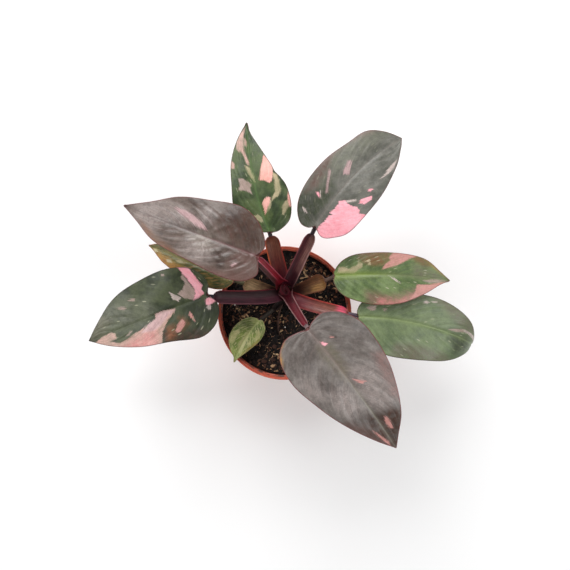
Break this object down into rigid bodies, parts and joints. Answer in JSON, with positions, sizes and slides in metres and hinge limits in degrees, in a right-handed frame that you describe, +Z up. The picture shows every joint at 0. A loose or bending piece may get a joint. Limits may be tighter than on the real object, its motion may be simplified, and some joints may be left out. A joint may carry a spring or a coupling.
{
  "type": "potted philodendron",
  "caption": "Young philodendron with pointed green, grey and pink leaves on sheathed dark red stalks, growing in a round terracotta-coloured plastic nursery pot.",
  "frame": {"origin": "centre of the pot's flat underside", "axes": "+Z up out of the pot; seen from above, +X is to the right, along the plant's longest spread, and +Y is away"},
  "size_m": [0.3459, 0.2721, 0.2023],
  "materials": {
    "terracotta_plastic": "satin",
    "potting_mix": "matte",
    "stem_skin": "satin",
    "root_skin": "matte",
    "blade_left_back": "satin",
    "petiole_left_back": "satin",
    "blade_front": "satin",
    "petiole_front": "satin",
    "blade_right_back": "satin",
    "petiole_right_back": "satin",
    "blade_back": "satin",
    "petiole_back": "satin",
    "blade_left": "satin",
    "petiole_left": "satin",
    "blade_right_low": "satin",
    "petiole_right_low": "satin",
    "blade_right": "satin",
    "petiole_right": "satin",
    "blade_left_low": "satin",
    "petiole_left_low": "satin",
    "blade_small": "satin",
    "petiole_small": "satin"
  },
  "bodies": {
    "root": {"pot": "terracotta_plastic", "soil": "potting_mix", "stem": "stem_skin", "aerial_root": "root_skin", "blade_left_back": "blade_left_back", "petiole_left_back": "petiole_left_back", "blade_front": "blade_front", "petiole_front": "petiole_front", "blade_right_back": "blade_right_back", "petiole_right_back": "petiole_right_back", "blade_back": "blade_back", "petiole_back": "petiole_back", "blade_left": "blade_left", "petiole_left": "petiole_left", "blade_right_low": "blade_right_low", "petiole_right_low": "petiole_right_low", "blade_right": "blade_right", "petiole_right": "petiole_right", "blade_left_low": "blade_left_low", "petiole_left_low": "petiole_left_low", "blade_small": "blade_small", "petiole_small": "petiole_small"}
  },
  "joints": []
}
